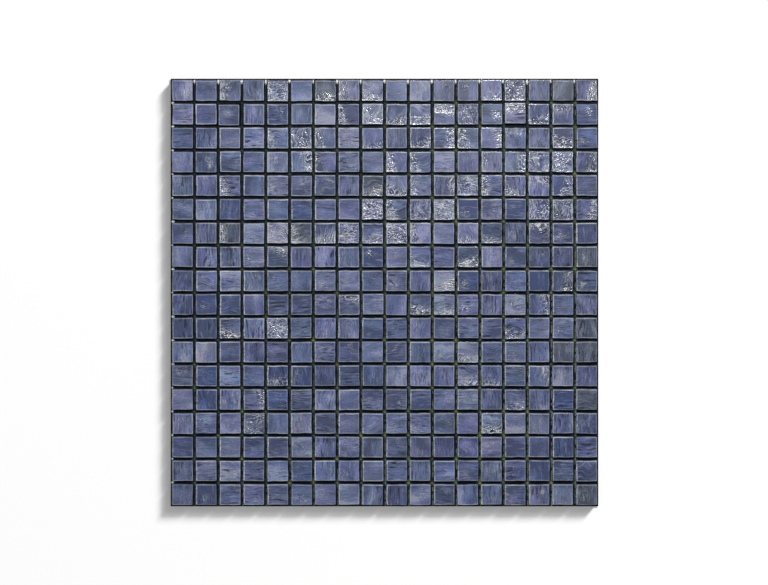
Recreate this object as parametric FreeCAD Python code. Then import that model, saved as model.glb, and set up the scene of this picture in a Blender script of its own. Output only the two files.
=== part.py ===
import FreeCAD, Part
import math
import os
import random

# A mosaic sheet: pressed glass tiles laid face up in rows, glued by a thin film to a backing net.
# Millimetres, +Z up. The origin is the middle of the underside, where the net rests.
# Row 1 is the one at +Y and column 1 the one at -X.

# The tiles: the width is the widest line, just under the rounded upper arris
ROWS = 18
COLUMNS = 18
TILE_WIDTH = 14.6
TILE_THICKNESS = 4.0
JOINT = 1.8
ARRIS_RADIUS = 0.8
# Each side leans in towards the back by this much, so that the tile leaves its mould
BACK_DRAFT = 0.15

# Laying by hand: how far a tile is off its place, each way, and how far it is turned
LAYING_SHIFT = 0.2
LAYING_TURN_DEGREES = 0.7

# Two tiles of one row have slipped before the glue set: one towards +Y, one towards -X and -Y
SLIPPED_ROW = 2
HIGH_COLUMN = 15
HIGH_SLIP = 0.8
LOW_COLUMN = 3
LOW_SLIP_X = 0.8
LOW_SLIP_Y = 0.4

# The glue film closes the joints from below and runs a little past the outer tiles
FILM_THICKNESS = 0.15
FILM_RIM = 1.0

# The net: flat glass-fibre yarns in two layers, the crosswise ones lying on the lengthwise ones
YARN_WIDTH = 0.9
YARN_THICKNESS = 0.2
YARN_THIN_EDGE = 0.2
YARN_PITCH = 5.0

TILE_PITCH = TILE_WIDTH + JOINT
SHEET_LENGTH_X = COLUMNS * TILE_PITCH - JOINT + 2 * FILM_RIM
SHEET_LENGTH_Y = ROWS * TILE_PITCH - JOINT + 2 * FILM_RIM
FILM_BOTTOM = 2 * YARN_THICKNESS
TILE_BOTTOM = FILM_BOTTOM + FILM_THICKNESS

UP = FreeCAD.Vector(0, 0, 1)


def square(half, z):
    """A square wire centred on the Z axis, half its side each way."""
    corners = [(-half, -half), (half, -half), (half, half), (-half, half), (-half, -half)]
    return Part.makePolygon([FreeCAD.Vector(x, y, z) for x, y in corners])


def glass_tile():
    """One tile standing on z = 0, lofted through its back, its widest line and its rounded arris."""
    half = TILE_WIDTH / 2
    arris_foot = TILE_THICKNESS - ARRIS_RADIUS
    inset = ARRIS_RADIUS * (1 - math.cos(math.pi / 4))
    sections = [
        square(half - BACK_DRAFT, 0),
        square(half, arris_foot),
        square(half - inset, TILE_THICKNESS - inset),
        square(half - ARRIS_RADIUS, TILE_THICKNESS),
    ]
    return Part.makeLoft(sections, True, True)


def tile_centre(row, column):
    """Where the middle of a tile's back belongs on the film."""
    x = (column - (COLUMNS + 1) / 2) * TILE_PITCH
    y = ((ROWS + 1) / 2 - row) * TILE_PITCH
    return FreeCAD.Vector(x, y, TILE_BOTTOM)


def tile_row(row, tile):
    """The tiles of one row, each a little off its place and a little turned, as laid by hand."""
    hand = random.Random(row)
    tiles = []
    for column in range(1, COLUMNS + 1):
        shift = FreeCAD.Vector(
            hand.uniform(-LAYING_SHIFT, LAYING_SHIFT),
            hand.uniform(-LAYING_SHIFT, LAYING_SHIFT),
            0,
        )
        turn = hand.uniform(-LAYING_TURN_DEGREES, LAYING_TURN_DEGREES)
        if (row, column) == (SLIPPED_ROW, HIGH_COLUMN):
            shift = FreeCAD.Vector(0, HIGH_SLIP, 0)
        if (row, column) == (SLIPPED_ROW, LOW_COLUMN):
            shift = FreeCAD.Vector(-LOW_SLIP_X, -LOW_SLIP_Y, 0)
        laid = tile.copy()
        laid.Placement = FreeCAD.Placement(
            tile_centre(row, column) + shift, FreeCAD.Rotation(UP, turn)
        )
        tiles.append(laid)
    return Part.makeCompound(tiles)


def glue_film():
    """The thin plate of set glue under all the tiles."""
    corner = FreeCAD.Vector(-SHEET_LENGTH_X / 2, -SHEET_LENGTH_Y / 2, FILM_BOTTOM)
    return Part.makeBox(SHEET_LENGTH_X, SHEET_LENGTH_Y, FILM_THICKNESS, corner)


def yarn(length):
    """One flat yarn along X on z = 0, with thin edges and its middle at the origin."""
    half = YARN_WIDTH / 2
    flat = half - YARN_THIN_EDGE
    outline = [
        (-half, YARN_THICKNESS / 2),
        (-flat, 0),
        (flat, 0),
        (half, YARN_THICKNESS / 2),
        (flat, YARN_THICKNESS),
        (-flat, YARN_THICKNESS),
        (-half, YARN_THICKNESS / 2),
    ]
    section = Part.Face(Part.makePolygon([FreeCAD.Vector(-length / 2, y, z) for y, z in outline]))
    return section.extrude(FreeCAD.Vector(length, 0, 0))


def yarn_places(span):
    """How far from the middle each yarn of a layer lies, for a net of the given span."""
    count = int((span - YARN_WIDTH) / YARN_PITCH) + 1
    return [(index - (count - 1) / 2) * YARN_PITCH for index in range(count)]


def crosswise_yarns():
    """The upper layer: yarns along X, side by side in Y, touching the film."""
    one = yarn(SHEET_LENGTH_X)
    layer = []
    for y in yarn_places(SHEET_LENGTH_Y):
        laid = one.copy()
        laid.translate(FreeCAD.Vector(0, y, YARN_THICKNESS))
        layer.append(laid)
    return Part.makeCompound(layer)


def lengthwise_yarns():
    """The lower layer: yarns along Y, side by side in X, on which the sheet rests."""
    one = yarn(SHEET_LENGTH_Y)
    one.rotate(FreeCAD.Vector(0, 0, 0), UP, 90)
    layer = []
    for x in yarn_places(SHEET_LENGTH_X):
        laid = one.copy()
        laid.translate(FreeCAD.Vector(x, 0, 0))
        layer.append(laid)
    return Part.makeCompound(layer)


os.makedirs("parts", exist_ok=True)
lengthwise_yarns().exportStep("parts/net_yarns_lengthwise.step")
crosswise_yarns().exportStep("parts/net_yarns_crosswise.step")
glue_film().exportStep("parts/glue_film.step")
one_tile = glass_tile()
for row in range(1, ROWS + 1):
    tile_row(row, one_tile).exportStep(f"parts/tile_row_{row:02d}.step")
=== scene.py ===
import math
import random

import bmesh
import bpy
import numpy as np
from mathutils import Matrix, Vector


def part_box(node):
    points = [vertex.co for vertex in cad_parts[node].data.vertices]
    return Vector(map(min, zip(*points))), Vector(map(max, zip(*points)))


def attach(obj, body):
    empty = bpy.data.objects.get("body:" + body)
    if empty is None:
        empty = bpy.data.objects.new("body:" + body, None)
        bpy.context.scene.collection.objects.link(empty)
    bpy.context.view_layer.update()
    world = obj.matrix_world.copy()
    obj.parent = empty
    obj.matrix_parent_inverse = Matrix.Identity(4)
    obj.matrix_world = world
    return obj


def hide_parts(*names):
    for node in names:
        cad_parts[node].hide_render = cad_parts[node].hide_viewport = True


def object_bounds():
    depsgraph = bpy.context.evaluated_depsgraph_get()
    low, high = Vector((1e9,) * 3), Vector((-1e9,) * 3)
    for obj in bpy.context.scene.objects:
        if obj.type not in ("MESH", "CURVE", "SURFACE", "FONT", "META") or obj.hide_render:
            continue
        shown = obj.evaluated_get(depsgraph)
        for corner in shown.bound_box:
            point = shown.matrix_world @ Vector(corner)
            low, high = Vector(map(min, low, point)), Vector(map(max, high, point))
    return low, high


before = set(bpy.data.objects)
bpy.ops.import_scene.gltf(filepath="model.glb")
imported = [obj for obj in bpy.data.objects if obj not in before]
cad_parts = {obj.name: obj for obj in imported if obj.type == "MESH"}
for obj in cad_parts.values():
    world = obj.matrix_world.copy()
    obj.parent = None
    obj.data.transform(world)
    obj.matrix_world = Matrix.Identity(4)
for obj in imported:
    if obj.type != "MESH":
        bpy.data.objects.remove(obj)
cad_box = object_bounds()


# The camera looks straight down on the sheet, with the first row of tiles at the top of the picture.
# The sheet fills 427.5 of the picture's 768 pixels across, half a pixel to the right of the middle. The
# long lens keeps the walls of the outer joints as hidden as those in the middle.
PICTURE_PIXELS = 768
SHEET_PIXELS = 427.5
PIXELS_RIGHT = 0.5
LENS = 200
SENSOR = 36

sheet_width = cad_box[1][0] - cad_box[0][0]
camera_height = LENS / SENSOR * PICTURE_PIXELS / SHEET_PIXELS * sheet_width
camera_left = -PIXELS_RIGHT / SHEET_PIXELS * sheet_width
bpy.ops.object.camera_add(location=(camera_left, 0, camera_height), rotation=(0, 0, 0))
camera = bpy.context.object
camera.data.lens = LENS
camera.data.sensor_width = SENSOR
camera.data.clip_end = 100
bpy.context.scene.camera = camera


# The backing net is a laid scrim: flat yarns of glass fibre in a white coating, two layers crossing at
# right angles and stuck together. The sheet rests on the lengthwise layer. Each yarn wanders a little.
MM = 0.001
YARN_WIDTH = 0.9 * MM
YARN_THICKNESS = 0.2 * MM
YARN_PITCH = 5.0 * MM
YARN_SIDES = 6
YARN_CUTS = 29
YARN_WANDER = 0.35 * MM
WANDER_LENGTH = 50 * MM


def deselect_all():
    """Leaves nothing selected."""
    bpy.ops.object.select_all(action="DESELECT")


def make_active(piece):
    """Leaves only this piece selected, and active."""
    deselect_all()
    piece.select_set(True)
    bpy.context.view_layer.objects.active = piece


def settle(piece):
    """Puts the piece's place, turn and size into its mesh."""
    make_active(piece)
    bpy.ops.object.transform_apply(location=True, rotation=True, scale=True)


def join_copies(copies, name):
    """Joins the copies of a piece into one mesh of that name."""
    deselect_all()
    for copy in copies:
        copy.select_set(True)
    bpy.context.view_layer.objects.active = copies[0]
    bpy.ops.object.join()
    joined = bpy.context.object
    joined.name = name
    joined.data.name = name
    return joined


def copy_piece(piece, matrix):
    """A copy of the piece with its own mesh, moved by the matrix."""
    copy = piece.copy()
    copy.data = piece.data.copy()
    copy.data.transform(matrix)
    bpy.context.collection.objects.link(copy)
    return copy


def cut_across(axis, place):
    """Cuts what is selected in edit mode, square to the axis at that place."""
    point = Vector((0, 0, 0))
    normal = Vector((0, 0, 0))
    point[axis] = place
    normal[axis] = 1
    bpy.ops.mesh.bisect(plane_co=point, plane_no=normal)


def cut_all_across(axis, places):
    """Cuts the whole piece that is in edit mode, square to the axis at each place."""
    for place in places:
        bpy.ops.mesh.select_all(action="SELECT")
        cut_across(axis, place)


def vertex_places(piece):
    """The places of the piece's vertices, one row each."""
    places = np.empty(len(piece.data.vertices) * 3)
    piece.data.vertices.foreach_get("co", places)
    return places.reshape(-1, 3)


def add_uv_map(piece, name, values):
    """A UV map of that name, from the two values of each vertex."""
    corners = np.empty(len(piece.data.loops), dtype=np.int64)
    piece.data.loops.foreach_get("vertex_index", corners)
    piece.data.uv_layers.new(name=name).data.foreach_set("uv", values[corners].ravel())


def make_yarn(length):
    """One flat yarn along X, its middle at the origin, in short lengths so that it can wander."""
    deselect_all()
    bpy.ops.mesh.primitive_cylinder_add(
        vertices=YARN_SIDES, radius=0.5, depth=length, rotation=(0, math.pi / 2, 0)
    )
    yarn = bpy.context.object
    settle(yarn)
    yarn.scale = (1, YARN_WIDTH, YARN_THICKNESS)
    settle(yarn)
    bpy.ops.object.mode_set(mode="EDIT")
    cut_all_across(0, np.linspace(-length / 2, length / 2, YARN_CUTS + 2)[1:-1])
    bpy.ops.object.mode_set(mode="OBJECT")
    add_uv_map(yarn, "fibre", vertex_places(yarn)[:, :2] / MM)
    return yarn


def press(piece, name, size, depth, direction="Z", group="", mid_level=0.5, uv_map=""):
    """Moves the group's vertices, or all, one way by a cloudy pattern of that size, for good."""
    pattern = bpy.data.textures.new(name, "CLOUDS")
    pattern.noise_scale = size
    change = piece.modifiers.new(name, "DISPLACE")
    change.texture = pattern
    change.texture_coords = "UV" if uv_map else "LOCAL"
    change.uv_layer = uv_map
    change.direction = direction
    change.vertex_group = group
    change.mid_level = mid_level
    change.strength = depth
    make_active(piece)
    bpy.ops.object.modifier_apply(modifier=name)


def shade_smooth(piece, degrees):
    """Shades the piece smooth, apart from the edges that turn more than this."""
    make_active(piece)
    bpy.ops.object.shade_smooth_by_angle(angle=math.radians(degrees))


def lay_yarns(node, name, turn, sideways, level):
    """One layer of the net: yarns side by side, where the node's own lie, their middle at that level.

    The turn is from X, and sideways is the number of the axis that they lie side by side along."""
    low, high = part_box(node)
    length = high[1 - sideways] - low[1 - sideways]
    span = high[sideways] - low[sideways] - YARN_WIDTH
    count = round(span / YARN_PITCH) + 1
    yarn = make_yarn(length)
    copies = []
    for index in range(count):
        place = Vector((0, 0, level))
        place[sideways] = low[sideways] + YARN_WIDTH / 2 + index * YARN_PITCH
        copies.append(copy_piece(yarn, Matrix.Translation(place) @ Matrix.Rotation(turn, 4, "Z")))
    bpy.data.objects.remove(yarn)
    layer = join_copies(copies, name)
    press(layer, name + "_wander", WANDER_LENGTH, YARN_WANDER, direction="XY"[sideways])
    shade_smooth(layer, 50)
    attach(layer, "root")
    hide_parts(node)
    return layer


def colour(red, green, blue):
    """A linear colour from the three values, 0 to 255, that a screen shows."""
    parts = []
    for value in (red, green, blue):
        share = value / 255
        parts.append(share / 12.92 if share <= 0.04045 else ((share + 0.055) / 1.055) ** 2.4)
    return (*parts, 1)


def add_node(tree, kind, inputs=None, **settings):
    """Adds a node with its settings, and links or sets each input named or numbered."""
    node = tree.nodes.new(kind)
    for name, value in settings.items():
        setattr(node, name, value)
    for name, value in (inputs or {}).items():
        if isinstance(value, bpy.types.NodeSocket):
            tree.links.new(value, node.inputs[name])
        else:
            node.inputs[name].default_value = value
    return node


def new_material(name):
    """An empty node material, with its Principled shader already on the output."""
    material = bpy.data.materials.new(name)
    material.use_nodes = True
    tree = material.node_tree
    tree.nodes.clear()
    shader = tree.nodes.new("ShaderNodeBsdfPrincipled")
    output = tree.nodes.new("ShaderNodeOutputMaterial")
    tree.links.new(shader.outputs["BSDF"], output.inputs["Surface"])
    return material, tree, shader


def mix_colours(tree, factor, first, second, blend="MIX"):
    """The output of a mix of two colours, whose sockets 0, 6 and 7 take the factor and the colours."""
    given = {0: factor, 6: first, 7: second}
    return add_node(tree, "ShaderNodeMix", given, data_type="RGBA", blend_type=blend).outputs[2]


def noise(tree, place, scale, detail, output="Fac"):
    """The output of a noise texture."""
    given = {"Vector": place, "Scale": scale, "Detail": detail}
    return add_node(tree, "ShaderNodeTexNoise", given).outputs[output]


def give_relief(tree, shader, height, strength, depth):
    """Gives the shader the relief of that height, and returns its normal."""
    given = {"Height": height, "Strength": strength, "Distance": depth}
    normal = add_node(tree, "ShaderNodeBump", given).outputs[0]
    tree.links.new(normal, shader.inputs["Normal"])
    return normal


def yarn_material():
    """White coating on a yarn, with the lines of its fibres along it."""
    material, tree, shader = new_material("coated_glass_yarn")
    fibre = add_node(tree, "ShaderNodeUVMap", uv_map="fibre")
    drawn_out = add_node(tree, "ShaderNodeMapping", {"Vector": fibre.outputs[0], "Scale": (0.3, 9, 1)})
    lines = noise(tree, drawn_out.outputs[0], 1.0, 3.0)
    shader.inputs["Roughness"].default_value = 0.6
    base = mix_colours(tree, lines, colour(150, 150, 138), colour(222, 221, 210))
    tree.links.new(base, shader.inputs["Base Color"])
    give_relief(tree, shader, lines, 0.5, 0.05 * MM)
    return material


def give_material(piece, material):
    """Makes this the piece's only material."""
    piece.data.materials.clear()
    piece.data.materials.append(material)


yarn_finish = yarn_material()
crosswise = lay_yarns("net_yarns_crosswise", "net_crosswise", 0, 1, 1.5 * YARN_THICKNESS)
lengthwise = lay_yarns("net_yarns_lengthwise", "net_lengthwise", math.pi / 2, 0, 0.5 * YARN_THICKNESS)
for layer in (crosswise, lengthwise):
    give_material(layer, yarn_finish)


# The glue is set adhesive, dark olive and half gloss. It lies as a film under all the tiles, has come
# up a little between them with an uneven top, and shows as pale beads where the joints end at the top
# and left edges of the sheet. Its colour has painted shade in its hollows, and painted light where the
# joints cross and on the right-hand walls of the upright joints, stronger to the lower right.
TILE_WIDTH = 14.6 * MM
JOINT = 1.8 * MM
TILE_PITCH = TILE_WIDTH + JOINT
ROWS = 18
COLUMNS = 18
BACK_DRAFT = 0.15 * MM
GLUE_RISE = 0.3 * MM
GLUE_CREEP = 0.5 * MM
GLUE_CELL = 1.6 * MM
GLUE_LUMP = 2.5 * MM
GLUE_LUMP_DEPTH = 0.7 * MM
BEAD_WIDTH = 2.2 * MM
BEAD_LENGTH = 4.0 * MM
BEAD_HEIGHT = 1.1 * MM
# Two levels that are closer than this are the same level
SAME_LEVEL = 0.01 * MM


def pick_vertices(piece, wanted):
    """Selects, in edit mode, the vertices that pass the test."""
    mesh = bmesh.from_edit_mesh(piece.data)
    bpy.ops.mesh.select_mode(type="VERT")
    bpy.ops.mesh.select_all(action="DESELECT")
    for vertex in mesh.verts:
        vertex.select_set(wanted(vertex.co))
    mesh.select_flush(True)
    bmesh.update_edit_mesh(piece.data)


def make_glue_strip(length, bottom):
    """The glue that has come up in one joint, along X, and creeps up the tiles on both sides."""
    deselect_all()
    width = JOINT + 2 * BACK_DRAFT
    bpy.ops.mesh.primitive_cube_add(
        size=1, location=(0, 0, bottom + GLUE_RISE / 2), scale=(length, width, GLUE_RISE)
    )
    strip = bpy.context.object
    settle(strip)
    bpy.ops.object.mode_set(mode="EDIT")
    cut_all_across(0, np.arange(-length / 2 + GLUE_CELL, length / 2 - GLUE_CELL / 2, GLUE_CELL))
    cut_all_across(1, (-0.3 * width, 0, 0.3 * width))
    top = bottom + GLUE_RISE
    pick_vertices(strip, lambda point: point.z > top - SAME_LEVEL and abs(point.y) > 0.45 * width)
    bpy.ops.transform.translate(value=(0, 0, GLUE_CREEP))
    bpy.ops.object.mode_set(mode="OBJECT")
    upper = np.flatnonzero(vertex_places(strip)[:, 2] > bottom + SAME_LEVEL)
    strip.vertex_groups.new(name="top").add(upper.tolist(), 1, "REPLACE")
    return strip


def make_bead():
    """One drop of glue with its foot at the origin, flat below and drawn out to a tail along -Y."""
    deselect_all()
    bpy.ops.mesh.primitive_ico_sphere_add(
        subdivisions=2,
        radius=0.5,
        location=(0, 0, 0.3 * BEAD_HEIGHT),
        scale=(BEAD_WIDTH, BEAD_LENGTH, BEAD_HEIGHT),
    )
    bead = bpy.context.object
    settle(bead)
    bpy.ops.object.mode_set(mode="EDIT")
    pick_vertices(bead, lambda point: point.z < 0.1 * BEAD_HEIGHT)
    bpy.ops.transform.resize(value=(1.1, 1.1, 0), center_override=(0, 0, 0))
    pick_vertices(bead, lambda point: point.y < -0.2 * BEAD_LENGTH)
    bpy.ops.transform.resize(value=(0.45, 1, 0.7), center_override=(0, 0, 0))
    bpy.ops.object.mode_set(mode="OBJECT")
    return bead


def maths(tree, operation, *values):
    """The output of a maths node."""
    return add_node(tree, "ShaderNodeMath", dict(enumerate(values)), operation=operation).outputs[0]


def map_range(tree, value, low, high):
    """0 at low and past it, 1 at high and past it, even between, and high may be the lower one."""
    given = {"Value": value, "From Min": low, "From Max": high}
    return add_node(tree, "ShaderNodeMapRange", given).outputs[0]


def joint_masks(tree, place):
    """Masks for the painted light on the joints' crossings and on their right-hand walls, stronger to the
    lower right.

    The masks go by how far a place is off the joint's middle, in tile pitches, where the joint itself is
    the share wide. They leave out the ends of the joints at the edge of the sheet."""
    axes = add_node(tree, "ShaderNodeSeparateXYZ", {"Vector": place})
    off_joint, sizes, far_out = [], [], []
    for axis in ("X", "Y"):
        pitches = maths(tree, "MULTIPLY_ADD", axes.outputs[axis], 1 / TILE_PITCH, 0.5)
        off_joint.append(maths(tree, "SUBTRACT", maths(tree, "FRACT", pitches), 0.5))
        sizes.append(maths(tree, "ABSOLUTE", off_joint[-1]))
        far_out.append(maths(tree, "ABSOLUTE", axes.outputs[axis]))
    share = JOINT / TILE_PITCH
    farther = maths(tree, "MAXIMUM", *sizes)
    inside = map_range(tree, maths(tree, "MAXIMUM", *far_out), 8.8 * TILE_PITCH, 8.6 * TILE_PITCH)
    lower_right = maths(tree, "SUBTRACT", axes.outputs["X"], axes.outputs["Y"])
    lower_right = map_range(tree, lower_right, -14 * TILE_PITCH, 14 * TILE_PITCH)
    strength = maths(tree, "MULTIPLY", lower_right, 1.2)
    crossing = maths(tree, "MULTIPLY", map_range(tree, farther, 1.4 * share, 0.2 * share), inside)
    crossing = maths(tree, "MULTIPLY", crossing, strength)
    wall = maths(tree, "MULTIPLY", wall_mask(tree, off_joint[0], share), strength)
    return crossing, wall


def wall_mask(tree, off_middle, share):
    """1 from a little right of the joint's middle to its right-hand wall."""
    right_half = map_range(tree, off_middle, 0.0, 0.3 * share)
    return maths(tree, "MULTIPLY", right_half, map_range(tree, off_middle, 0.9 * share, 0.7 * share))


def uneven_glue_group():
    """The unevenness that all the glue has, as a node group: small lumps, and patches of them."""
    group = bpy.data.node_groups.new("uneven_glue", "ShaderNodeTree")
    for name in ("Hollow", "Raised"):
        group.interface.new_socket(name=name, in_out="INPUT", socket_type="NodeSocketColor")
    group.interface.new_socket(name="Colour", in_out="OUTPUT", socket_type="NodeSocketColor")
    for name in ("Unevenness", "Patches", "Height"):
        group.interface.new_socket(name=name, in_out="OUTPUT", socket_type="NodeSocketFloat")
    given = add_node(group, "NodeGroupInput")
    place = add_node(group, "ShaderNodeTexCoord").outputs["Object"]
    lumps = noise(group, place, 1300.0, 3.0)
    patches = noise(group, place, 330.0, 2.0)
    # Painted shade: the colour is darker where the lumps and patches lie low, and paler where they rise
    uneven = map_range(group, maths(group, "MULTIPLY", lumps, patches), 0.16, 0.38)
    shade = mix_colours(group, uneven, given.outputs["Hollow"], given.outputs["Raised"])
    add_node(
        group, "NodeGroupOutput",
        {"Colour": shade, "Unevenness": uneven, "Patches": patches, "Height": lumps},
    )
    return group


def glue_material(name, hollow, raised, roughness, specular, lit_glue_colours=None):
    """Set glue, with painted shade in its hollows and any painted light on the joints' crossings and
    walls.
    """
    material, tree, shader = new_material(name)
    uneven = add_node(tree, "ShaderNodeGroup", node_tree=uneven_glue)
    uneven.inputs["Hollow"].default_value = hollow
    uneven.inputs["Raised"].default_value = raised
    base = uneven.outputs["Colour"]
    if lit_glue_colours:
        place = add_node(tree, "ShaderNodeTexCoord").outputs["Object"]
        # Painted light, in two colours, on the crossings and on the right-hand walls of the upright
        # joints
        light_patches = noise(tree, place, 110.0, 1.0)
        lit_glue_colour = mix_colours(tree, map_range(tree, light_patches, 0.42, 0.60), *lit_glue_colours)
        crossing, wall = joint_masks(tree, place)
        lit_crossings = maths(tree, "MULTIPLY_ADD", uneven.outputs["Unevenness"], 0.6, 0.4)
        lit_crossings = maths(tree, "MULTIPLY", crossing, lit_crossings)
        lit_crossing_share = maths(tree, "MULTIPLY_ADD", map_range(tree, light_patches, 0.38, 0.64), 1.5, 0.25)
        lit_crossings = maths(tree, "MULTIPLY", lit_crossings, lit_crossing_share)
        lit_specks = maths(tree, "MULTIPLY", wall, map_range(tree, uneven.outputs["Patches"], 0.40, 0.58))
        base = mix_colours(tree, maths(tree, "MAXIMUM", lit_crossings, lit_specks), base, lit_glue_colour)
    tree.links.new(base, shader.inputs["Base Color"])
    shader.inputs["Roughness"].default_value = roughness
    shader.inputs["Specular IOR Level"].default_value = specular
    give_relief(tree, shader, uneven.outputs["Height"], 0.6, 0.3 * MM)
    return material


uneven_glue = uneven_glue_group()
film_finish = glue_material("glue_film", colour(2, 5, 9), colour(9, 15, 22), 0.7, 0.1)
give_material(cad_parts["glue_film"], film_finish)

film_low, film_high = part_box("glue_film")
strip_length = film_high[0] - film_low[0] - 0.4 * MM
strip = make_glue_strip(strip_length, film_high[2])
copies = []
for index in range(1, COLUMNS):
    off = (index - COLUMNS / 2) * TILE_PITCH
    copies.append(copy_piece(strip, Matrix.Translation((0, off, 0))))
    upright = Matrix.Translation((off, 0, 0)) @ Matrix.Rotation(math.pi / 2, 4, "Z")
    copies.append(copy_piece(strip, upright))
bpy.data.objects.remove(strip)
joint_glue = join_copies(copies, "joint_glue")
press(joint_glue, "glue_lumps", GLUE_LUMP, GLUE_LUMP_DEPTH, group="top")
shade_smooth(joint_glue, 60)
# The two colours of the painted light in the joints
lit_glue_colours = (colour(103, 121, 122), colour(120, 132, 98))
joint_finish = glue_material("joint_glue", colour(3, 9, 20), colour(24, 42, 52), 0.6, 0.25, lit_glue_colours)
give_material(joint_glue, joint_finish)

# One bead at each joint's end in the first row, its tail down the joint, and one in the first column
draw = random.Random(7)
bead = make_bead()
copies = []
for index in range(1, COLUMNS):
    off = (index - COLUMNS / 2) * TILE_PITCH
    width = 0.45 + 0.6 * draw.betavariate(1.6, 0.9)
    length = draw.uniform(0.65, 0.95)
    aside = draw.uniform(-0.3, 0.2) * MM
    top_end = (off + aside, film_high[1] - (0.75 + 2.0 * length) * MM, film_high[2])
    stretch = Matrix.Diagonal((width, length, draw.uniform(0.9, 1.2), 1))
    copies.append(copy_piece(bead, Matrix.Translation(top_end) @ stretch))
    size = 0.65 + 0.5 * draw.betavariate(0.6, 0.7)
    aside = draw.uniform(0.0, 0.4) * MM
    left_end = (film_low[0] + (0.6 + size) * MM, off - aside, film_high[2])
    stretch = Matrix.Diagonal((1.1 * size, 0.55 * size, 1.2, 1))
    turn_left = Matrix.Rotation(-math.pi / 2, 4, "Z")
    copies.append(copy_piece(bead, Matrix.Translation(left_end) @ turn_left @ stretch))
bpy.data.objects.remove(bead)
beads = join_copies(copies, "glue_beads")
shade_smooth(beads, 60)
pale_finish = glue_material("pale_glue", colour(228, 230, 228), colour(248, 248, 246), 0.35, 0.5)
give_material(beads, pale_finish)
for piece in (joint_glue, beads):
    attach(piece, "root")


# The glass tiles are pressed, with a rounded upper arris, rounded corners and a draft to the back. The
# coloured glass is drawn out in strokes, one way on each tile, and on some tiles its face is wrinkled.
ARRIS = 0.6 * MM
ARRIS_SEGMENTS = 2
CORNER_RADIUS = 0.7 * MM
CORNER_SEGMENTS = 2
# The flat of a face has so many cells a side
PLAIN_CELLS = 3
WRINKLED_CELLS = 28
# The unit of length that the strokes and the unevenness of the face are measured in
BRUSH_UNIT = 10 * MM
# What makes the face uneven: how long it is in that unit, how deep, and the group that it moves
UNEVENNESS = [
    ("tilt", 5.0, 0.16 * MM, "face"),
    ("swell", 1.3, 0.10 * MM, "face"),
    ("crinkle", 0.18, 0.35 * MM, "wrinkles"),
]
# The sides of the tiles wander within a band of this width, in waves of these lengths
EDGE_WANDER = 0.7 * MM
WAVE_ACROSS = 4.5 * MM
WAVE_ALONG = 4.95 * MM
# The tiles that stand out on the sheet, as (row, column), by the side that is wrinkled or by colour
SIDES = {"right": 0, "top": 90, "left": 180, "bottom": 270}
WRINKLED = {
    "all over": [
        (1, 5), (1, 15), (2, 9), (2, 13), (3, 6), (4, 16), (4, 17), (5, 13), (6, 9), (6, 11), (6, 12),
        (6, 16), (6, 17), (7, 5), (7, 8), (7, 10), (11, 5), (15, 4),
    ],
    "left": [
        (1, 3), (1, 8), (2, 8), (3, 5), (3, 7), (3, 13), (4, 7), (4, 10), (4, 11), (4, 14), (5, 3),
        (5, 11), (5, 14), (6, 10), (7, 3), (7, 6), (7, 11),
    ],
    "right": [
        (1, 18), (3, 12), (3, 14), (4, 6), (4, 15), (4, 18), (5, 12), (5, 17), (6, 18), (9, 17),
        (10, 16), (13, 16), (14, 4),
    ],
    "top": [(2, 12), (2, 15), (2, 17), (3, 15), (5, 16), (7, 16), (8, 5), (10, 8)],
    "bottom": [
        (1, 7), (1, 9), (1, 14), (2, 10), (2, 11), (2, 16), (3, 9), (3, 11), (3, 17), (5, 9), (5, 10),
        (5, 15), (7, 7), (7, 9), (7, 13), (7, 14), (8, 11), (8, 13), (9, 12), (10, 11), (10, 12),
        (11, 3), (11, 15), (12, 13), (13, 5), (13, 13), (13, 14), (14, 15), (15, 14),
    ],
}
DEEP_BLUE = [
    (2, 5), (2, 16), (2, 18), (3, 18), (5, 17), (6, 3), (6, 6), (6, 13), (6, 15), (8, 9), (9, 13),
    (9, 16), (10, 2), (13, 2), (13, 5), (13, 6), (14, 2), (14, 5), (14, 17), (16, 17),
]
SHADED = [
    (7, 16), (7, 17), (7, 18), (8, 16), (8, 17), (9, 13), (9, 14), (9, 17), (9, 18), (10, 1), (10, 5),
    (11, 1), (11, 2),
]
GREY = [
    (1, 7), (1, 17), (5, 9), (7, 3), (7, 6), (8, 18), (11, 18), (12, 17), (12, 18), (14, 18), (18, 18),
]
PALE = [
    (1, 9), (1, 11), (2, 7), (2, 9), (3, 8), (6, 12), (7, 5), (9, 12), (10, 12), (10, 15), (12, 2),
    (12, 13),
]


def pick_edges(piece, wanted):
    """Selects, in edit mode, the edges whose two ends pass the test together."""
    mesh = bmesh.from_edit_mesh(piece.data)
    bpy.ops.mesh.select_mode(type="EDGE")
    bpy.ops.mesh.select_all(action="DESELECT")
    for edge in mesh.edges:
        edge.select_set(wanted(edge.verts[0].co, edge.verts[1].co))
    bmesh.update_edit_mesh(piece.data)


def pick_faces(piece, wanted):
    """Selects, in edit mode, the faces whose middle passes the test."""
    mesh = bmesh.from_edit_mesh(piece.data)
    bpy.ops.mesh.select_mode(type="FACE")
    bpy.ops.mesh.select_all(action="DESELECT")
    for face in mesh.faces:
        face.select_set(wanted(face.calc_center_median()))
    bmesh.update_edit_mesh(piece.data)


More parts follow.
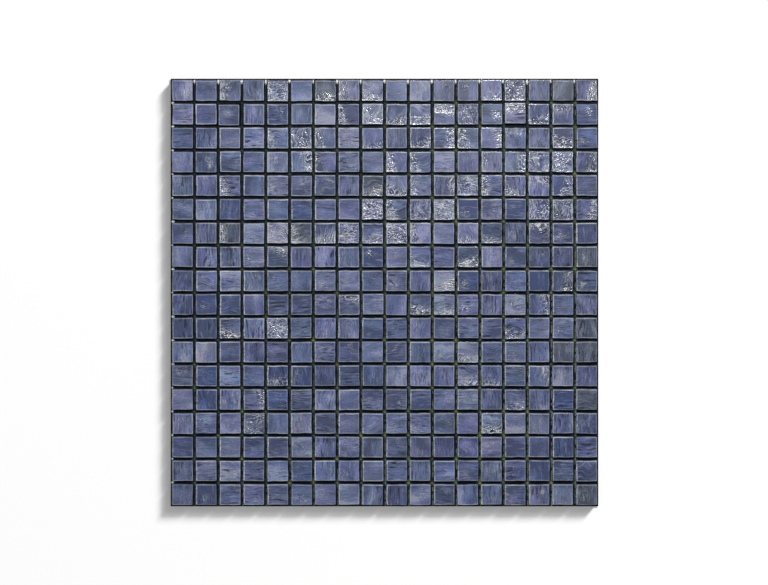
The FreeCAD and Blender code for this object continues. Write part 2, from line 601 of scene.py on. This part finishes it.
def make_tile(back, front, cells):
    """One tile in the middle of the sheet, from the level of its back to that of its face."""
    deselect_all()
    bpy.ops.mesh.primitive_cube_add(
        size=1, location=(0, 0, (back + front) / 2), scale=(TILE_WIDTH, TILE_WIDTH, front - back)
    )
    tile = bpy.context.object
    settle(tile)
    bpy.ops.object.mode_set(mode="EDIT")
    pick_faces(tile, lambda point: point.z < back + SAME_LEVEL)
    drafted = 1 - 2 * BACK_DRAFT / TILE_WIDTH
    bpy.ops.transform.resize(value=(drafted, drafted, 1), center_override=(0, 0, back))
    pick_edges(tile, lambda one, other: abs(one.z - other.z) > 0.5 * (front - back))
    bpy.ops.mesh.bevel(offset=CORNER_RADIUS, segments=CORNER_SEGMENTS, affect="EDGES")
    pick_edges(tile, lambda one, other: min(one.z, other.z) > front - SAME_LEVEL)
    bpy.ops.mesh.bevel(offset=ARRIS, segments=ARRIS_SEGMENTS, affect="EDGES")
    flat = TILE_WIDTH / 2 - ARRIS
    for axis in (0, 1):
        for place in np.linspace(-flat, flat, cells + 1)[1:-1]:
            pick_faces(tile, lambda point: point.z > back + SAME_LEVEL)
            cut_across(axis, place)
    bpy.ops.object.mode_set(mode="OBJECT")
    tile.vertex_groups.new(name="face")
    tile.vertex_groups.new(name="wrinkles")
    return tile


def tiles_of_row(node):
    """The middle and the turn of each tile's back, read from the row's solids, left to right."""
    places = vertex_places(node)
    back = places[places[:, 2] < places[:, 2].min() + SAME_LEVEL]
    columns = np.rint(back[:, 0] / TILE_PITCH + (COLUMNS - 1) / 2).astype(int)
    laid = []
    for column in range(COLUMNS):
        corners = back[columns == column]
        middle = (corners.min(axis=0) + corners.max(axis=0)) / 2
        right_top = corners[np.argmax((corners[:, :2] - middle[:2]).sum(axis=1))] - middle
        turn = math.atan2(right_top[1], right_top[0]) - math.pi / 4
        laid.append((Vector(middle), turn))
    return laid


def smooth_step(low, high, values):
    """0 below low, 1 above high and a smooth rise between."""
    share = np.clip((values - low) / (high - low), 0, 1)
    return share * share * (3 - 2 * share)


OWN_VALUES = ("tone", "violet", "vivid", "stroke", "swirl", "band", "print", "near_rim_light", "far_rim_light")


def finish_of_tile(row, column):
    """How one tile came out, drawn for that tile alone: its colour, strokes and wrinkles, and its painted
    rim highlights.

    The wrinkles lie towards the turn, and start at the reach, from -1 at the far side to 1. A spot of
    them may lie elsewhere. The upright strokes run along Y, give or take the lean."""
    draw = random.Random(1000 * row + column)
    down = (row - 1) / (ROWS - 1)
    across = (column - 1) / (COLUMNS - 1)
    # The tone falls a little towards the bottom and the right of the sheet, as painted shade
    finish = {
        "tone": 0.05 + 0.86 * draw.betavariate(1.3, 1.3) - 0.04 * down - 0.06 * across,
        "violet": draw.uniform(0, 1),
        "vivid": draw.betavariate(3, 2),
        "stroke": draw.betavariate(1.0, 0.8),
        "swirl": draw.betavariate(0.4, 3.0),
        # How strong the painted shade inside the top of the tile is
        "band": draw.betavariate(0.8, 1.2),
        "print": draw.betavariate(0.6, 1.2),
        "upright": draw.random() < 0.42,
        "lean": draw.gauss(0, 0.05),
        "place": (draw.uniform(0, 90), draw.uniform(0, 90)),
        # The painted highlight on the right and lower rims fades towards the bottom of the sheet
        "far_rim_light": 0.8 - 0.3 * down + draw.uniform(-0.3, 0.3),
        "wrinkle": 0.35 * draw.betavariate(0.7, 2.5),
        "wrinkle_turn": draw.uniform(0, 2 * math.pi),
        "wrinkle_reach": draw.uniform(-0.2, 0.5),
    }
    # The tone is lower still in the first three rows and the last three columns
    finish["tone"] -= 0.15 * (row <= 3) + 0.1 * (column >= 16)
    for side, tiles in WRINKLED.items():
        if (row, column) in tiles:
            everywhere = side == "all over"
            finish["wrinkle"] = draw.uniform(0.45, 0.75) if everywhere else draw.uniform(0.6, 1)
            finish["wrinkle_turn"] = math.radians(SIDES.get(side, 0) + draw.uniform(-25, 25))
            finish["wrinkle_reach"] = -1.6 if everywhere else draw.uniform(0.0, 0.3)
            finish["swirl"] = draw.uniform(0.2, 0.8)
    outermost = 1 in (row, column)
    # The painted highlight on the left and top rims is halved on the outermost tiles
    finish["near_rim_light"] = (0.3 + 1.2 * draw.betavariate(1.6, 1.6)) * (0.5 if outermost else 1)
    finish["spot"] = (draw.uniform(-0.5, 0.5), draw.uniform(-0.5, 0.5))
    finish["spot_depth"] = 0
    if finish["wrinkle"] < 0.35 and draw.random() < 0.45:
        finish["spot_depth"] = draw.uniform(0.2, 0.8)
    if (row, column) in DEEP_BLUE:
        finish.update(tone=-0.04, vivid=1.5, violet=0.15)
    if (row, column) in SHADED:
        finish.update(tone=-0.08, stroke=1.0)
    if (row, column) in GREY:
        finish.update(tone=0.13, vivid=-0.65, violet=0.55)
    if (row, column) in PALE:
        finish.update(tone=0.86, vivid=0.25)
    return finish


def mark_tile(tile, finish, places):
    """Writes a tile's finish into its mesh, whose places are given as they are on the tile alone.

    Its own values and its share of wrinkles are attributes. One UV map spans the face, the other follows
    the strokes. The groups hold what the face's unevenness and its wrinkles may move."""
    mesh = tile.data
    half_width = TILE_WIDTH / 2
    across = places[:, :2]
    add_uv_map(tile, "face", across / TILE_WIDTH + 0.5)
    turn = finish["lean"] + (math.pi / 2 if finish["upright"] else 0)
    along = across[:, 0] * math.cos(turn) + across[:, 1] * math.sin(turn)
    aside = across[:, 1] * math.cos(turn) - across[:, 0] * math.sin(turn)
    strokes = np.stack([along, aside], axis=1) / BRUSH_UNIT + np.array(finish["place"])
    add_uv_map(tile, "brush", strokes)
    for name in OWN_VALUES:
        values = np.full(len(mesh.vertices), finish[name])
        mesh.attributes.new(name, "FLOAT", "POINT").data.foreach_set("value", values)
    turn = finish["wrinkle_turn"]
    reach = (across[:, 0] * math.cos(turn) + across[:, 1] * math.sin(turn)) / half_width
    start = finish["wrinkle_reach"]
    wrinkled = finish["wrinkle"] * smooth_step(start - 0.4, start + 0.5, reach)
    off_spot = np.linalg.norm(across / half_width - np.array(finish["spot"]), axis=1)
    wrinkled = np.maximum(wrinkled, finish["spot_depth"] * (1 - smooth_step(0.1, 0.65, off_spot)))
    mesh.attributes.new("wrinkle", "FLOAT", "POINT").data.foreach_set("value", wrinkled)
    inside = half_width - np.abs(across).max(axis=1)
    above_back = places[:, 2] > places[:, 2].min() + 1 * MM
    on_face = smooth_step(0.05 * MM, 1.2 * MM, inside) * above_back
    for index in np.flatnonzero(on_face):
        tile.vertex_groups["face"].add([int(index)], on_face[index], "REPLACE")
        tile.vertex_groups["wrinkles"].add([int(index)], on_face[index] * wrinkled[index], "REPLACE")


tile_low, tile_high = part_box("tile_row_01")
plain_tile = make_tile(tile_low[2], tile_high[2], PLAIN_CELLS)
wrinkled_tile = make_tile(tile_low[2], tile_high[2], WRINKLED_CELLS)
wrinkled_tiles = [place for tiles in WRINKLED.values() for place in tiles]

row_pieces = []
for row in range(1, ROWS + 1):
    name = f"tile_row_{row:02d}"
    copies = []
    for column, (middle, turn) in enumerate(tiles_of_row(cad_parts[name]), 1):
        master = wrinkled_tile if (row, column) in wrinkled_tiles else plain_tile
        place = Matrix.Translation((middle.x, middle.y, 0)) @ Matrix.Rotation(turn, 4, "Z")
        tile = copy_piece(master, place)
        mark_tile(tile, finish_of_tile(row, column), vertex_places(master))
        copies.append(tile)
    piece = join_copies(copies, f"glass_tiles_{row:02d}")
    for pattern, size, depth, group in UNEVENNESS:
        press(piece, pattern, size, depth, group=group, mid_level=1.0, uv_map="brush")
    press(piece, "edges_across", WAVE_ACROSS, EDGE_WANDER, direction="X")
    press(piece, "edges_along", WAVE_ALONG, EDGE_WANDER, direction="Y")
    shade_smooth(piece, 40)
    flat_face = piece.modifiers.new("flat_face", "WEIGHTED_NORMAL")
    flat_face.keep_sharp = True
    bpy.ops.object.modifier_apply(modifier="flat_face")
    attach(piece, "root")
    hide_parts(name)
    row_pieces.append(piece)
for master in (plain_tile, wrinkled_tile):
    bpy.data.objects.remove(master)


def value_of(tree, name):
    """The output of one of the tile's own values."""
    return add_node(tree, "ShaderNodeAttribute", attribute_name=name).outputs["Fac"]


def drawn_noise(tree, flow, along, across, detail=1.0):
    """Noise about zero, drawn out along the strokes, with so many changes to the unit each way."""
    drawn = add_node(tree, "ShaderNodeMapping", {"Vector": flow, "Scale": (along, across, 1)})
    return maths(tree, "SUBTRACT", noise(tree, drawn.outputs[0], 1.0, detail), 0.5)


def vector_maths(tree, operation, inputs):
    """The output of a vector maths node."""
    return add_node(tree, "ShaderNodeVectorMath", inputs, operation=operation).outputs[0]


def stroke_flow(tree):
    """The place along and across the strokes, bent as far as the tile's strokes swirl."""
    brush = add_node(tree, "ShaderNodeUVMap", uv_map="brush").outputs[0]
    bend = noise(tree, brush, 1.3, 0.0, "Color")
    bend = vector_maths(tree, "SUBTRACT", {0: bend, 1: (0.5, 0.5, 0.5)})
    swirl = maths(tree, "MULTIPLY_ADD", value_of(tree, "swirl"), 1.4, 0.05)
    bend = vector_maths(tree, "SCALE", {0: bend, "Scale": swirl})
    return vector_maths(tree, "ADD", {0: brush, 1: bend})


def rim_and_band(tree, flow):
    """Three masks of the tile: its arris with a painted highlight, and painted shade inside its top and
    at its edge.

    Places on the face go from 0 to 1, from its lower left corner."""
    face = add_node(tree, "ShaderNodeUVMap", uv_map="face").outputs[0]
    axes = add_node(tree, "ShaderNodeSeparateXYZ", {"Vector": face})
    lit_specks = maths(tree, "MULTIPLY_ADD", drawn_noise(tree, flow, 9.0, 9.0), 3.0, 0.75)
    left = maths(tree, "MULTIPLY", map_range(tree, axes.outputs["X"], 0.085, 0.06), lit_specks)
    top = maths(tree, "MULTIPLY", map_range(tree, axes.outputs["Y"], 0.92, 0.94), 0.92)
    right = maths(tree, "MULTIPLY", map_range(tree, axes.outputs["X"], 0.94, 0.96), 0.55)
    bottom = map_range(tree, axes.outputs["Y"], 0.06, 0.04)
    near_sides = maths(tree, "MULTIPLY", maths(tree, "MAXIMUM", left, top), value_of(tree, "near_rim_light"))
    far_sides = maths(tree, "MULTIPLY", maths(tree, "MAXIMUM", right, bottom), value_of(tree, "far_rim_light"))
    rim_highlight = maths(tree, "MAXIMUM", near_sides, far_sides)
    below_edge = map_range(tree, axes.outputs["Y"], 0.93, 0.9)
    band = maths(tree, "MULTIPLY", map_range(tree, axes.outputs["Y"], 0.74, 0.86), below_edge)
    # The edge: darker in colour as painted shade, and rougher with less coat
    edge = map_range(tree, axes.outputs["X"], 0.04, 0.018)
    for axis, inner, outer in (("X", 0.979, 0.997), ("Y", 0.033, 0.017), ("Y", 0.955, 0.975)):
        edge = maths(tree, "MAXIMUM", edge, map_range(tree, axes.outputs[axis], inner, outer))
    return rim_highlight, maths(tree, "MULTIPLY", band, value_of(tree, "band")), edge


def glass_colour(tree, flow, ridges, wrinkle, rim_highlight, band, edge):
    """The colour of the glass, from the tile's own tone, tint and strokes, and the painted light and
    shade of its rim and wrinkles.
    """
    # How pale the glass is, from broad strokes to fine ones
    tone = maths(tree, "MULTIPLY_ADD", drawn_noise(tree, flow, 0.5, 1.1), 2.0, value_of(tree, "tone"))
    tone = maths(tree, "MULTIPLY_ADD", drawn_noise(tree, flow, 0.5, 3.2), 0.4, tone)
    tone = maths(tree, "MULTIPLY_ADD", drawn_noise(tree, flow, 3.5, 7.0, 2.0), 0.7, tone)
    tone = maths(tree, "MULTIPLY_ADD", drawn_noise(tree, flow, 9.0, 11.0), 1.0, tone)
    streaks = maths(tree, "MULTIPLY", drawn_noise(tree, flow, 1.6, 9.0), value_of(tree, "stroke"))
    tone = maths(tree, "MULTIPLY_ADD", streaks, 1.3, tone)
    # Painted shade inside the top of the tile
    tone = maths(tree, "MULTIPLY_ADD", band, -0.36, tone)
    ramp = add_node(tree, "ShaderNodeValToRGB", {"Fac": tone})
    stops = [
        (0.0, (58, 67, 96)),
        (0.1, (68, 77, 110)),
        (0.28, (80, 89, 122)),
        (0.5, (92, 99, 133)),
        (0.75, (105, 111, 144)),
        (0.92, (118, 123, 153)),
        (1.0, (138, 142, 165)),
    ]
    while len(ramp.color_ramp.elements) < len(stops):
        ramp.color_ramp.elements.new(0.5)
    for element, (place, shade) in zip(ramp.color_ramp.elements, stops):
        element.position = place
        element.color = colour(*shade)

    # Its cast, from green to violet and from grey to vivid blue
    violet = maths(tree, "MULTIPLY_ADD", drawn_noise(tree, flow, 1.0, 2.0), 2.6, value_of(tree, "violet"))
    cast = mix_colours(tree, violet, (0.88, 1.01, 0.98, 1), (1.07, 0.97, 1.03, 1))
    base = mix_colours(tree, 1.0, ramp.outputs["Color"], cast, "MULTIPLY")
    vivid = maths(tree, "MULTIPLY_ADD", drawn_noise(tree, flow, 1.2, 2.2), 2.2, value_of(tree, "vivid"))
    vivid = map_range(tree, vivid, -1.4, 1.6)
    cast = mix_colours(tree, vivid, (1.18, 1.12, 0.66, 1), (0.80, 0.90, 1.20, 1))
    base = mix_colours(tree, 1.0, base, cast, "MULTIPLY")

    # Single dark and pale strokes
    lines = drawn_noise(tree, flow, 1.0, 8.0)
    spread = map_range(tree, drawn_noise(tree, flow, 1.1, 1.6), -0.06, 0.04)
    dark = maths(tree, "MULTIPLY", map_range(tree, lines, 0.07, 0.11), value_of(tree, "stroke"))
    base = mix_colours(tree, maths(tree, "MULTIPLY", dark, spread), base, colour(17, 21, 48))
    pale = maths(tree, "MULTIPLY", map_range(tree, lines, -0.12, -0.22), 0.35)
    base = mix_colours(tree, pale, base, colour(150, 155, 180))

    # Painted light on the wrinkles: a painted sheen, painted shade in the hollows and painted highlights
    # on the crests
    sheen = map_range(tree, drawn_noise(tree, flow, 1.6, 2.2), 0.0, 0.16)
    sheen = maths(tree, "MULTIPLY", maths(tree, "MULTIPLY", sheen, wrinkle), 0.55)
    base = mix_colours(tree, sheen, base, colour(184, 187, 196))
    clumps = map_range(tree, drawn_noise(tree, flow, 1.6, 2.6), -0.12, 0.08)
    hollow_shade = maths(tree, "MULTIPLY", map_range(tree, ridges, 0.38, 0.14), wrinkle)
    hollow_shade = maths(tree, "MULTIPLY", hollow_shade, maths(tree, "MULTIPLY_ADD", clumps, 0.5, 0.5))
    base = mix_colours(tree, hollow_shade, base, colour(22, 25, 36))
    crest_highlights = maths(tree, "MULTIPLY", map_range(tree, ridges, 0.66, 0.92), wrinkle)
    crest_highlights = maths(tree, "MULTIPLY", crest_highlights, maths(tree, "MULTIPLY_ADD", clumps, 0.7, 0.3))
    highlight_colour = mix_colours(tree, wrinkle, colour(196, 206, 226), colour(238, 238, 235))
    base = mix_colours(tree, crest_highlights, base, highlight_colour)

    # Painted highlight on the arris, broken up in places, and painted shade at the edge
    rim_breakup = maths(tree, "MULTIPLY_ADD", drawn_noise(tree, flow, 1.5, 1.5), 1.5, 0.55)
    base = mix_colours(tree, maths(tree, "MULTIPLY", rim_highlight, rim_breakup), base, colour(198, 202, 214))
    return mix_colours(tree, maths(tree, "MULTIPLY", edge, 0.85), base, colour(18, 25, 46))


def glass_material():
    """Glossy glass whose colour lies in strokes, with the relief of the strokes and the wrinkles."""
    material, tree, shader = new_material("brushed_glass")
    flow = stroke_flow(tree)
    wrinkle = value_of(tree, "wrinkle")
    # The ridges of the wrinkles are folds, or arcs, or both, as the tile's print says
    folds = map_range(tree, maths(tree, "ABSOLUTE", drawn_noise(tree, flow, 3.0, 6.5)), 0.11, 0.0)
    arcs = add_node(
        tree, "ShaderNodeTexWave",
        {"Vector": flow, "Scale": 2.6, "Distortion": 5.0, "Detail": 2.0, "Detail Scale": 2.4},
        bands_direction="Y",
    ).outputs["Fac"]
    print_share = value_of(tree, "print")
    ridges = maths(tree, "MULTIPLY_ADD", maths(tree, "SUBTRACT", arcs, folds), print_share, folds)
    rim_highlight, band, edge = rim_and_band(tree, flow)
    base = glass_colour(tree, flow, ridges, wrinkle, rim_highlight, band, edge)
    tree.links.new(base, shader.inputs["Base Color"])
    tree.links.new(maths(tree, "MULTIPLY_ADD", edge, 0.4, 0.3), shader.inputs["Roughness"])
    tree.links.new(maths(tree, "MULTIPLY_ADD", edge, -0.9, 1.0), shader.inputs["Coat Weight"])
    shader.inputs["Coat Roughness"].default_value = 0.08
    height = maths(tree, "MULTIPLY", ridges, wrinkle)
    height = maths(tree, "MULTIPLY_ADD", drawn_noise(tree, flow, 0.7, 6.0, 2.0), -0.35, height)
    normal = give_relief(tree, shader, height, 1.0, 0.14 * MM)
    tree.links.new(normal, shader.inputs["Coat Normal"])
    return material


glass = glass_material()
for piece in row_pieces:
    give_material(piece, glass)


# The floor is plain and pale. It has lamps of its own, which light it white and throw the sheet's soft
# shadow down to the left. The sheet's lamps light only the sheet, most of it from above the first row.
FLOOR_SIZE = 12
WORLD_LEVEL = 0.25

deselect_all()
bpy.ops.mesh.primitive_plane_add(size=FLOOR_SIZE, location=(0, 0, 0))
floor = bpy.context.object
floor.name = "floor"
floor_paint, tree, shader = new_material("floor_paint")
shader.inputs["Base Color"].default_value = (0.9, 0.9, 0.9, 1)
shader.inputs["Roughness"].default_value = 0.9
shader.inputs["Specular IOR Level"].default_value = 0.0
give_material(floor, floor_paint)

world = bpy.data.worlds.new("studio")
bpy.context.scene.world = world
world.use_nodes = True
background = world.node_tree.nodes["Background"]
background.inputs["Color"].default_value = (1, 1, 1, 1)
background.inputs["Strength"].default_value = WORLD_LEVEL


def floor_group(name, state):
    """A light group that holds only the floor, which its lamps light or leave out."""
    group = bpy.data.collections.new(name)
    group.objects.link(floor)
    group.collection_objects[0].light_linking.link_state = state
    return group


floor_only = floor_group("floor_only", "INCLUDE")
all_but_floor = floor_group("all_but_floor", "EXCLUDE")


def add_lamp(name, lit, azimuth, elevation, distance, size, level):
    """A square lamp that gives a level surface at the sheet's middle that share of plain light.

    It shines from an azimuth and an elevation in degrees, and only on the group that is lit."""
    turn = math.radians(azimuth)
    rise = math.radians(elevation)
    away = Vector((math.cos(rise) * math.cos(turn), math.cos(rise) * math.sin(turn), math.sin(rise)))
    bpy.ops.object.light_add(type="AREA", location=distance * away)
    lamp = bpy.context.object
    lamp.name = name
    lamp.rotation_euler = away.to_track_quat("Z", "Y").to_euler()
    lamp.data.size = size
    lamp.data.energy = level * math.pi ** 2 * distance ** 2 / math.sin(rise)
    lamp.light_linking.receiver_collection = lit


add_lamp("top_lamp", all_but_floor, 102, 42, 2.0, 0.35, 0.30)
add_lamp("left_lamp", all_but_floor, 165, 35, 2.0, 0.8, 0.12)
add_lamp("right_lamp", all_but_floor, 15, 30, 2.0, 0.8, 0.07)
add_lamp("bottom_lamp", all_but_floor, 265, 35, 2.0, 0.8, 0.07)
add_lamp("glint_lamp", all_but_floor, 76, 64, 0.75, 0.10, 0.26)
add_lamp("shadow_lamp", floor_only, 49, 18, 12.0, 2.0, 0.53)
add_lamp("soft_shadow_lamp", floor_only, 49, 25, 12.0, 4.2, 0.21)
add_lamp("floor_lamp", floor_only, 0, 89, 12.0, 6.0, 0.17)

bpy.context.scene.view_settings.view_transform = "Standard"
